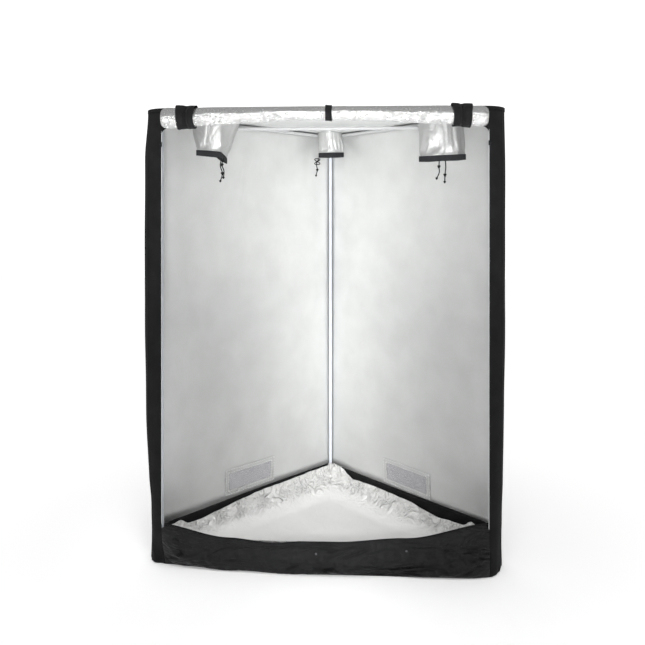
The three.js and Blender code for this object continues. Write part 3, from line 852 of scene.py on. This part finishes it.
def add_roll():
    """The door is one sheet wound round itself."""
    turns, per_turn = 11, 40
    xs = steps(-ROLL_HALF + 0.002, ROLL_HALF - 0.002, 0.006)
    wound = [i / (turns * per_turn) for i in range(turns * per_turn + 1)]

    def place(x, share):
        angle = 2 * math.pi * turns * share + 0.4 * math.pi
        edge = 0.004 * ripple(share * 30, 1.5 if x > 0 else 7.5)
        x += edge * (abs(x) / ROLL_HALF) ** 8
        return roll_point(x, angle, lerp(0.2, 1.0, share))

    roll = add_grid("door_roll", xs, wound, place, ["silver_crushed_painted_highlight", "black"])
    roll.data.flip_normals()
    thicken(roll, DOOR_FILM, inner=1)
    stand_for_sheet(
        roll, "silver_cloth", "door_roll", flat=(2 * ROLL_HALF, DOOR_HEIGHT), held="folded",
        rests_on=["roll_strap_left"],
    )


def add_straps():
    for x, width, name in STRAPS:
        us = steps(x - width / 2, x + width / 2, 0.0025)
        wide = width > WIDE_STRAP

        def place(u, angle):
            fold = 0.0
            if wide:
                fold = 0.003 + 0.0012 * math.sin(angle * 5 + u * 60)
                u = x + (u - x) * (0.94 + 0.14 * smooth(math.sin(angle)))
            return roll_point(u, angle, clear=0.0028 + max(-0.0012, fold))

        angles = round_angles(60)
        vertices = [place(u, a) for a in angles + [0.0] for u in us]
        strap = add_mesh(
            f"roll_strap_{name}", vertices, grid_faces(61, len(us)), ["webbing"],
        )
        thicken(strap, STRAP_THICKNESS)
        stand_for_sheet(
            strap, "webbing", f"roll_strap_{name}", flat=(width, 2 * math.pi * roll_radius(x)),
            held="stretched", rests_on=["door_roll"],
        )


# Duct sleeves, their hems and the free ends of the drawcords

# Plan of each hem, which the drawcord pulls flat: x and y from the middle of the sleeve, the
# direction in degrees that the point has on the round top, and its height above the hem line
HEMS = {
    "left": (
        (-0.049, -0.074, 188, 0.008), (0.0, -0.084, 245, 0.004), (0.051, -0.086, 303, -0.001),
        (0.050, 0.0, 350, -0.008), (0.046, 0.072, 395, -0.014), (0.036, 0.005, 440, -0.008),
        (0.034, -0.068, 490, 0.0), (-0.010, -0.070, 520, 0.004), (-0.049, -0.074, 548, 0.008),
    ),
    "right": (
        (-0.092, -0.078, 190, -0.006), (-0.040, -0.090, 230, -0.005), (0.015, -0.086, 275, -0.002),
        (0.060, -0.092, 315, 0.0), (0.093, -0.068, 350, 0.003), (0.062, -0.060, 400, 0.0),
        (0.0, -0.068, 450, -0.002), (-0.050, -0.062, 505, -0.005), (-0.092, -0.078, 550, -0.006),
    ),
    "back": (
        (-0.052, -0.040, 195, 0.0), (-0.020, -0.056, 240, 0.0), (0.030, -0.056, 300, 0.001),
        (0.069, -0.040, 345, 0.002), (0.040, -0.028, 410, 0.001), (-0.010, -0.030, 480, 0.0),
        (-0.052, -0.040, 555, 0.0),
    ),
}
FLARE = {"left": 0.040, "right": 0.0, "back": 0.0}  # ceiling cloth drawn down beside a sleeve


def hem_loop(name, count):
    """Points round the hem with their directions on the top, evenly along its length."""
    corners = HEMS[name]
    lengths = [0.0]
    for a, b in zip(corners, corners[1:]):
        lengths.append(lengths[-1] + math.dist(a[:2], b[:2]) + 0.0012 * abs(a[2] - b[2]))
    loop = []
    for i in range(count):
        at = lengths[-1] * i / count
        k = max(j for j in range(len(lengths) - 1) if lengths[j] <= at)
        share = (at - lengths[k]) / (lengths[k + 1] - lengths[k])
        loop.append([lerp(p, r, share) for p, r in zip(corners[k], corners[k + 1])])
    for _ in range(2):  # rounds the corners, counting degrees on across the start of the loop
        before = [loop[-1]] + loop[:-1]
        after = loop[1:] + [loop[0]]
        before[0] = [p - 360 * (k == 2) for k, p in enumerate(before[0])]
        after[-1] = [p + 360 * (k == 2) for k, p in enumerate(after[-1])]
        loop = [
            [(a + 2 * h + b) / 4 for a, h, b in zip(*corner)]
            for corner in zip(before, loop, after)
        ]
    return loop


def sleeve_point(name, corner, v, outside=0.0):
    """A point of a sleeve: v is 0 at the ceiling, 1 at the top of the hem."""
    axis, radius, low, high = sleeve_size(name)
    x, y, degrees, lift = corner
    angle = math.radians(degrees)
    out = Vector((math.cos(angle), math.sin(angle), 0))
    turned = (degrees + 190) % 360 - 180
    radius += -0.002 + FLARE[name] * math.exp(-(turned / 45) ** 2)
    centre = Vector((*axis, 0))
    top = centre + out * radius + Vector((0, 0, high))
    bottom = centre + Vector((x, y, low + lift))
    soft = 0.003 * math.sin(math.pi * v) * ripple(math.cos(angle) * 3, math.sin(angle) * 3, v * 2)
    fold = 0.0055 * smooth(v / 0.7) * smooth((1 - v) / 0.2)
    soft += fold * ripple(math.cos(angle) * 5.5, math.sin(angle) * 5.5, 4 + 0.6 * v)
    return top.lerp(bottom, v) + out * (outside + soft)


def add_sleeves():
    for name in HEMS:
        count, rows = 96, 16
        loop = hem_loop(name, count)
        sleeve = add_grid(
            f"duct_sleeve_{name}", loop, shares(rows),
            lambda corner, v: sleeve_point(name, corner, v), ["silver_soft_painted_shade"], closed=True,
        )
        ends = set(range(count)) | set(range(rows * count, (rows + 1) * count))
        crumple(sleeve, ends, 0.006, bending=0.3)
        refine(sleeve)
        thicken(sleeve, SLEEVE_FILM)
        _, radius, low, high = sleeve_size(name)
        round_it = math.pi * (2 * radius)
        stand_for_sheet(
            sleeve, "silver_cloth", f"duct_sleeve_{name}", flat=(round_it, high - low),
            held="hung", rests_on=["ceiling_panel"],
        )
        add_cuff(name, loop, round_it)


def add_cuff(name, loop, round_it):
    low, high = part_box(f"duct_cuff_{name}")
    deep = max(CUFF_HEIGHT, high[2] - low[2])

    def place(corner, v):
        gather = 0.0007 * math.sin(0.5 * corner[2]) * math.sin(math.pi * v)
        point = sleeve_point(name, corner, 1.0, outside=0.0014 + gather)
        return point - Vector((0, 0, deep * v - 0.001))

    cuff = add_grid(
        f"duct_cuff_{name}", loop, shares(8), place, ["cuff"],
        closed=True,
    )
    thicken(cuff, HEM_THICKNESS)
    stand_for_sheet(
        cuff, "cuff_webbing", f"duct_cuff_{name}", flat=(round_it, deep), held="gathered",
        rests_on=[f"duct_sleeve_{name}"],
    )


# sleeve, degrees round it, length, and how far each third of the free end hangs to the right
DRAWCORDS = (
    ("drawcord_left_a", "left", -54, 0.092, (-0.005, 0.003, -0.005)),
    ("drawcord_left_b", "left", -49, 0.078, (-0.006, 0.002, 0.0)),
    ("drawcord_right_a", "right", -99, 0.069, (-0.001, 0.0, -0.010)),
    ("drawcord_right_b", "right", -84, 0.083, (0.001, -0.002, -0.003)),
    ("drawcord_back", "back", -155, 0.083, (-0.0115, -0.0075, -0.0135)),
)
CORD_DIAMETER = 0.0044


def add_drawcords():
    for node, name, degrees, length, drift in DRAWCORDS:
        axis, radius, _, _ = sleeve_size(name)
        angle = math.radians(degrees)
        x = axis[0] + (radius - 0.001) * math.cos(angle)
        y = axis[1] + (radius - 0.001) * math.sin(angle)
        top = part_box(node)[1][2]
        points = [Vector((x, y, top))]
        for i, aside in enumerate(drift):
            points.append(Vector((x + aside, y, top - length * (i + 1) / 3)))
        cord = add_curve(node, points, CORD_DIAMETER / 2, "webbing")
        knots = [add_knot(f"{node}_knot", points[1 + (length > 0.08)], 0.8)]
        knots.append(add_knot(f"{node}_end_knot", points[3], 0.5))
        if name == "back":
            knots.append(add_bow(f"{node}_bow", points[0]))
        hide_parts(node)


def add_curve(name, points, radius, look, resolution=4, closed=False):
    data = bpy.data.curves.new(name, "CURVE")
    data.dimensions = "3D"
    data.bevel_depth = radius
    data.bevel_resolution = resolution
    data.use_fill_caps = not closed
    spline = data.splines.new("BEZIER")
    spline.bezier_points.add(len(points) - 1)
    for point, place in zip(spline.bezier_points, points):
        point.co = place
        point.handle_left_type = point.handle_right_type = "AUTO"
    spline.use_cyclic_u = closed
    data.materials.append(LOOKS[look])
    return link(name, data, "tent")


def as_mesh(curve):
    """Replaces a curve that isn't a cord with its mesh."""
    name = curve.name
    mesh = shown_mesh(curve)
    bpy.data.objects.remove(curve)
    return link(name, mesh, "tent")


def add_knot(name, centre, size):
    """An overhand knot as a short closed trefoil round the cord."""
    points = []
    for t in round_angles(15):
        points.append(centre + size * Vector((
            0.0020 * (math.sin(t) + 2 * math.sin(2 * t)),
            0.0026 * math.sin(3 * t),
            0.0022 * (math.cos(t) - 2 * math.cos(2 * t)),
        )))
    knot = as_mesh(add_curve(name, points, CORD_DIAMETER / 2, "webbing", closed=True))
    return knot


def add_bow(name, top):
    """Two soft loops tied in a cord just below its hem."""
    points = []
    for t in round_angles(20):
        points.append(top + Vector((
            -0.0075 + 0.013 * math.sin(2 * t), -0.004 * math.sin(t), -0.014 + 0.014 * math.sin(t),
        )))
    bow = as_mesh(add_curve(name, points, CORD_DIAMETER / 2, "webbing", closed=True))
    return bow


# Vents

def on_wall(side, d, z, out):
    """A place beside the cloth of a wall, as far outside it as that."""
    return wall_place(side)(d, z) + outline(side * d)[1] * out


def add_vents():
    for side, name in SIDES:
        add_vent_mesh(side, name)
        add_vent_border(side, name)
        add_vent_flap(side, name)


def add_vent_mesh(side, name):
    pitch, width = 0.0014, 0.0009
    vertices, faces = [], []

    def ribbon(corners):
        start = len(vertices)
        vertices.extend(corners)
        faces.append((start, start + 1, start + 2, start + 3))

    for d in steps(VENT_FIRST, VENT_LAST, pitch):
        near, far = d - width / 2, d + width / 2
        ribbon([on_wall(side, a, z, -0.0006) for a, z in (
            (near, VENT_LOW), (far, VENT_LOW), (far, VENT_HIGH), (near, VENT_HIGH))])
    for z in steps(VENT_LOW, VENT_HIGH, pitch):
        low, high = z - width / 2, z + width / 2
        ribbon([on_wall(side, a, b, -0.0009) for a, b in (
            (VENT_FIRST, low), (VENT_LAST, low), (VENT_LAST, high), (VENT_FIRST, high))])
    mesh = add_mesh(f"vent_mesh_{name}", vertices, faces, ["mesh"])
    stand_for_sheet(
        mesh, "mesh_cloth", f"vent_mesh_{name}", flat=(VENT_WIDTH, VENT_HIGH - VENT_LOW),
        held="stretched", rests_on=[f"vent_frame_{name}"],
    )


def add_vent_border(side, name):
    def across(low, high):
        places = steps(low - VENT_BORDER, low, 0.007) + steps(low, high, 0.01)[1:]
        return places + steps(high, high + VENT_BORDER, 0.007)[1:]

    us = across(VENT_FIRST, VENT_LAST)
    vs = across(VENT_LOW, VENT_HIGH)

    def place(d, z):
        return on_wall(side, d, z, -0.0024 + 0.0012 * ripple(d * 55, z * 55, side))

    def solid(row, column):
        return not in_vent(us[column], vs[row])

    wide = VENT_LAST - VENT_FIRST + 2 * VENT_BORDER
    tall = VENT_HIGH - VENT_LOW + 2 * VENT_BORDER
    add_cloth(
        f"vent_frame_{name}", us, vs, place, ["silver_border"], "silver_cloth",
        fine=True, keep=solid, flat=(wide, tall), held="stretched", rests_on=[f"wall_{name}"],
        area=wide * tall - VENT_WIDTH * (VENT_HIGH - VENT_LOW),
    )
    add_stitches(f"vent_stitches_{name}", side)


def add_stitches(name, side):
    """Two rows of thread round a vent, one stitch at a time."""
    vertices, faces = [], []
    long, gap, thick = 0.0080, 0.0050, 0.0017

    def stitch(*ends):
        start, end = [on_wall(side, d, z, STITCH_OUT) for d, z in ends]
        across = (end - start).cross(outline(side * VENT_MIDDLE)[1]).normalized() * thick
        lift = outline(side * VENT_MIDDLE)[1] * -0.0006
        base = len(vertices)
        middle = (start + end) / 2 + lift
        vertices.extend([start, middle + across, end, middle - across, middle + lift * 0.5])
        faces.extend([(base, base + 1, base + 4), (base + 1, base + 2, base + 4),
                      (base + 2, base + 3, base + 4), (base + 3, base, base + 4)])

    for margin in (0.004, VENT_BORDER - 0.004):
        low, high = VENT_LOW - margin, VENT_HIGH + margin
        left, right = VENT_FIRST - margin, VENT_LAST + margin
        for d in steps(left, right - long, long + gap):
            for z in (low, high):
                stitch((d, z), (d + long, z))
        for z in steps(low, high - long, long + gap):
            for d in (left, right):
                stitch((d, z), (d, z + long))
    stitches = add_mesh(name, vertices, faces, ["thread"])


def add_vent_flap(side, name):
    node = f"vent_flap_{name}"
    low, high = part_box(node)
    us = steps(VENT_FIRST - FLAP_MARGIN, VENT_LAST + FLAP_MARGIN, 0.01)
    vs = steps(low[2], high[2], 0.01)

    def place(d, z):
        hang = (high[2] - z) / (high[2] - low[2])
        point, normal = outline(side * d)
        point += normal * (0.0026 + 0.0012 * hang * ripple(d * 14, z * 8, 4 + side))
        return Vector((point.x, point.y, z))

    # It hangs open with its silver lining outwards
    add_cloth(
        node, us, vs, place, ["silver", "black"], "black_cloth", fine=True,
        body=node, flat=(us[-1] - us[0], vs[-1] - vs[0]), held="hung", rests_on=[f"wall_{name}"],
    )


# Zips

def add_zips():
    for side, name in SIDES:
        low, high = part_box(f"zip_tape_{name}")
        zs = steps(low[2] - 0.004, high[2], 0.02)
        ds = steps(DOOR_EDGE - 0.0085, DOOR_EDGE, 0.0028)

        def place(d, z):
            return shell(side * d, z, 0.0015)

        add_cloth(
            f"zip_tape_{name}", ds, zs, place, ["webbing"], "webbing", TAPE_THICKNESS,
            flat=(ZIP_TAPE, high[2] - low[2]), held="stretched",
            rests_on=[f"corner_strip_{name}"],
        )
        add_coil(f"zip_coil_{name}", [shell(side * (DOOR_EDGE + 0.0008), z, 0.0018) for z in zs])
        for part in ("slider", "pull"):
            polish(f"zip_{part}_{name}", "zip", 0.0004)
    add_bottom_zip()


def add_bottom_zip():
    ts = [0.985 * i / 60 for i in range(-60, 61)]

    def place(t, v):
        q = front_q(t)
        z = along_curve(SILL_EDGE, outline(q)[0].x) + 0.0075 * v - 0.002
        return shell(q, z, 0.0016 + 0.004 * (1 - abs(t)))

    add_cloth(
        "zip_tape_bottom", ts, [0.0, 0.35, 0.7, 1.0], place, ["webbing"], "webbing",
        TAPE_THICKNESS, flat=(DOORWAY, ZIP_TAPE), held="stretched", rests_on=["front_sill"],
    )


def add_coil(name, points):
    """The row of zip teeth, as a round cord along the edge of the tape."""
    coil = as_mesh(add_curve(name, points, 0.0012, "coil"))


def polish(node, look, edge):
    """Rounds the edges of a CAD node and gives it a finish."""
    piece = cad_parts[node]
    piece.data.materials.clear()
    piece.data.materials.append(LOOKS[look])
    bevel = piece.modifiers.new("edges", "BEVEL")
    bevel.width = edge
    bevel.segments = 2
    bevel.limit_method = "ANGLE"
    bevel.angle_limit = math.radians(35)
    smoother = piece.modifiers.new("shading", "WEIGHTED_NORMAL")
    smoother.keep_sharp = True


# Frame of tubes

def add_frame():
    for side in ("back", "left", "right"):
        for part in ("lower", "upper"):
            low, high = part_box(f"post_{side}_{part}")
            x, y = (low[0] + high[0]) / 2, (low[1] + high[1]) / 2
            top = high[2] if part == "upper" else TOP_Z / 2
            ends = [Vector((x, y, low[2])), Vector((x, y, top))]
            add_tube(f"post_{side}_{part}", ends)
    for level in ("bottom", "top"):
        low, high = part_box(f"wall_rail_{level}_right")
        z = (low[2] + high[2]) / 2
        look = "steel_shaded" if level == "top" else "steel"
        for side, name in SIDES:
            ends = []
            for d in (RAIL_START, WALL_LENGTH - RAIL_SHORT):
                place, _ = outline(side * d, FRAME_INSET)
                ends.append(Vector((place.x, place.y, z)))
            add_tube(f"wall_rail_{level}_{name}", ends, look)
        add_front_rail(f"front_rail_{level}", z, look)
        polish(f"connector_back_{level}", "plastic", 0.0008)
        for name in ("left", "right"):
            polish(f"connector_{level}_{name}", "plastic", 0.0008)
    polish("hang_bar", "steel_shaded", 0.0006)


def add_tube(name, points, look="steel"):
    tube = as_mesh(add_curve(name, points, TUBE, look, resolution=8))
    stand_for(name)


def add_front_rail(name, z, look):
    start = WALL_LENGTH + RAIL_SHORT * CORNER_RADIUS / (CORNER_RADIUS - FRAME_INSET)
    half = steps(start, WALL_LENGTH + CORNER_ARC, 0.02) + steps(
        WALL_LENGTH + CORNER_ARC + 0.03, HALF_LENGTH, 0.1,
    )
    right = [outline(d, FRAME_INSET + slack(d, z))[0] + Vector((0, 0, z)) for d in half]
    left = [outline(-d, FRAME_INSET + slack(-d, z))[0] + Vector((0, 0, z)) for d in half]
    left = list(reversed(left[:-1]))
    add_tube(name, right + left, look)


# Tray

TRAY_RIM = (
    (-1.0, 0.100), (-0.946, 0.100), (-0.917, 0.104), (-0.873, 0.076), (-0.81, 0.076),
    (-0.72, 0.086), (-0.58, 0.100), (-0.50, 0.108), (-0.34, 0.110), (-0.11, 0.115),
    (0.0, 0.121), (0.075, 0.130), (0.12, 0.120), (0.148, 0.100), (0.19, 0.086), (0.25, 0.093),
    (0.32, 0.096), (0.545, 0.095), (0.66, 0.082), (0.72, 0.076), (0.80, 0.084),
    (0.86, 0.088), (0.905, 0.118), (0.94, 0.108), (1.0, 0.098),
)
TRAY_FOOT_INSET = 0.150  # from the outline of the tent to where the tray's sides meet its floor


def rim_height(q):
    """Height of the soft rim: it slumps along the walls and stands behind the sill."""
    share = max(-1.0, min(1.0, q / WALL_LENGTH))
    height = along_curve(TRAY_RIM, share) + 0.003 * ripple(q * 22, 3)
    past = smooth((abs(q) - WALL_LENGTH - 0.05) / 0.25)
    return lerp(height, 0.098, past)


def rim_inset(q):
    """The rim leans on the walls between the posts and stays inside them."""
    beside_post, on_wall_inset, behind_sill = 0.026, 0.019, 0.060
    past = abs(q) - WALL_LENGTH
    if past >= 0:
        return lerp(beside_post, behind_sill, smooth(past / 0.06))
    to_post = min(abs(q), abs(past))
    return lerp(beside_post, on_wall_inset, smooth((to_post - 0.04) / 0.08))


def tray_crease(q, v):
    """Crumpled relief of the tray's sides, from -1 to 1."""
    sharp = 1 - 2 * abs(ripple(q * 17 + 3 * v, v * 2.6, 1))
    return 0.5 * sharp + 0.35 * ripple(q * 42, v * 6, 8) + 0.25 * ripple(q * 95, v * 14, 3)


def add_tray():
    loop = steps(-HALF_LENGTH, HALF_LENGTH, 0.011)[:-1]  # fine enough for the creases
    sides = shares(20)
    floor = [1.0 + i / 14 for i in range(1, 14)]
    bottom = FLOOR_HIGH[2] + TRAY_CLEAR

    def place(q, v):
        if v <= 1.0:
            bend = v * math.pi / 2
            z = lerp(rim_height(q), bottom, math.sin(bend))
            crease = 0.012 * tray_crease(q, v) * smooth(v / 0.12) * smooth((1.1 - v) / 0.4)
            foot = lerp(rim_inset(q), TRAY_FOOT_INSET, 1 - math.cos(bend))
            point, _ = outline(q, foot + max(-0.004, crease))
            return Vector((point.x, point.y, z + 0.3 * abs(crease)))
        edge, _ = outline(q, TRAY_FOOT_INSET)
        share = (v - 1.0) ** 0.8
        point = edge.lerp(PLAN_MIDDLE, share)
        soft = 0.0035 * abs(ripple(point.x * 7, point.y * 7, 5)) * smooth((v - 1) / 0.15)
        soft += 0.0012 * abs(ripple(point.x * 25, point.y * 25, 6)) * (1 - share)
        return Vector((point.x, point.y, bottom + soft))

    tray = add_grid(
        "spill_tray", loop, sides + floor, place, ["tray"], closed=True, body="spill_tray",
    )
    tray.data.flip_normals()
    refine(tray)
    thicken(tray, CLOTH, offset=1.0)
    stand_for_sheet(
        tray, "tray_cloth", "spill_tray", flat=TRAY_FLAT, held="laid",
        rests_on=["floor_panel"], area=TRAY_AREA,
    )


def add_studs(sill):
    """Press studs on the front of the sill, on its surface."""
    for name in ("left", "right"):
        low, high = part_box(f"lip_stud_{name}")
        start = Vector(((low[0] + high[0]) / 2, low[1] - 0.1, (low[2] + high[2]) / 2))
        _, spot, normal, _ = sill.ray_cast(start, Vector((0, 1, 0)))
        profile = ((0.0042, 0.0), (0.0044, 0.0008), (0.0036, 0.0018), (0.0022, 0.0022),
                   (0.0014, 0.0016), (0.0, 0.0015))
        turn = Vector((0, -1, 0)).rotation_difference(normal)
        sides = 20
        vertices = [
            spot + turn @ Vector((r * math.cos(a), -h - 0.0002, r * math.sin(a)))
            for r, h in profile[:-1] for a in round_angles(sides)
        ]
        faces = grid_faces(len(profile) - 1, sides, closed=True)
        faces.append(tuple(range(len(vertices) - sides, len(vertices))))
        stud = add_mesh(f"lip_stud_{name}", vertices, faces, ["stud"])
        stand_for(f"lip_stud_{name}")


# Stage

def add_light(name, kind, place, target, power, **settings):
    data = bpy.data.lights.new(name, kind)
    data.energy = power
    for key, value in settings.items():
        setattr(data, key, value)
    light = link(name, data)
    light.location = place
    direction = Vector(target) - Vector(place)
    light.rotation_euler = direction.to_track_quat("-Z", "Y").to_euler()
    return light


def add_stage():
    look = Look("stage", 0.9)
    look.color(look.noise(0.5, 1), (0.93, 0.93, 0.93), (0.95, 0.95, 0.95))
    LOOKS["stage"] = look.material
    side = 12.0
    corners = [(-side, -side, 0), (side, -side, 0), (side, side, 0), (-side, side, 0)]
    ground = add_mesh("stage_floor", [Vector(c) for c in corners], [(0, 1, 2, 3)],
                      ["stage"], body=None)
    ground.location.z = -0.0006
    look.shader.inputs["Emission Color"].default_value = (1, 1, 1, 1)
    look.shader.inputs["Emission Strength"].default_value = 0.2
    world = bpy.data.worlds.new("studio")
    world.use_nodes = True
    nodes, links = world.node_tree.nodes, world.node_tree.links
    fill = nodes["Background"]
    fill.inputs["Color"].default_value = (1, 1, 1, 1)
    fill.inputs["Strength"].default_value = 0.42
    backdrop = nodes.new("ShaderNodeBackground")
    backdrop.inputs["Strength"].default_value = 1.5
    choice = nodes.new("ShaderNodeMixShader")
    path = nodes.new("ShaderNodeLightPath")
    links.new(path.outputs["Is Camera Ray"], choice.inputs["Fac"])
    links.new(fill.outputs["Background"], choice.inputs[1])
    links.new(backdrop.outputs["Background"], choice.inputs[2])
    links.new(choice.outputs["Shader"], nodes["World Output"].inputs["Surface"])
    bpy.context.scene.world = world
    overhead = add_light("overhead", "SUN", (0, 0, 5), (0, 0, 0), 1.5, angle=math.radians(60))
    overhead.visible_glossy = False
    add_light("softbox", "AREA", (0.1, -5.0, 2.2), (0, 0, 0.9), 18, size=2.5)
    front = (0.1, -3.0, 1.3)
    # name, half angle, stretch, power, place, target
    spots = (
        ("corner_wide", 15, 2.8, 90, front, (0.0, 0.45, 0.95)),
        ("corner_narrow", 9, 2.8, 115, front, (0.0, 0.45, 1.05)),
        ("corner_low", 8.5, 1.6, 470, front, (0.0, 0.45, 0.36)),
        ("tray_left", 16, 1.0, 42, (-0.3, -1.0, 1.6), (-0.58, -0.08, 0.05)),
        ("tray_right", 16, 1.0, 22, (0.3, -1.0, 1.6), (0.50, -0.02, 0.05)),
    )
    for name, half_angle, stretch, power, place, target in spots:
        spot = add_light(name, "SPOT", place, target, power, spot_blend=1.0,
                         spot_size=math.radians(2 * half_angle), shadow_soft_size=0.25)
        spot.scale.y = stretch
    add_light("roll_light", "SPOT", (0.0, -3.3, 0.4), (0, -0.42, 1.85), 380, spot_blend=0.8,
              spot_size=math.radians(44), shadow_soft_size=0.3)
    bpy.context.scene.view_settings.view_transform = "Standard"


add_camera()
add_drawcords()
add_walls()
add_corner_strips()
add_bindings()
front_sill = add_sill()
add_header()
add_ceiling()
add_floor()
add_roll()
add_straps()
add_sleeves()
add_vents()
add_zips()
add_frame()
add_tray()
add_studs(front_sill)
add_stage()
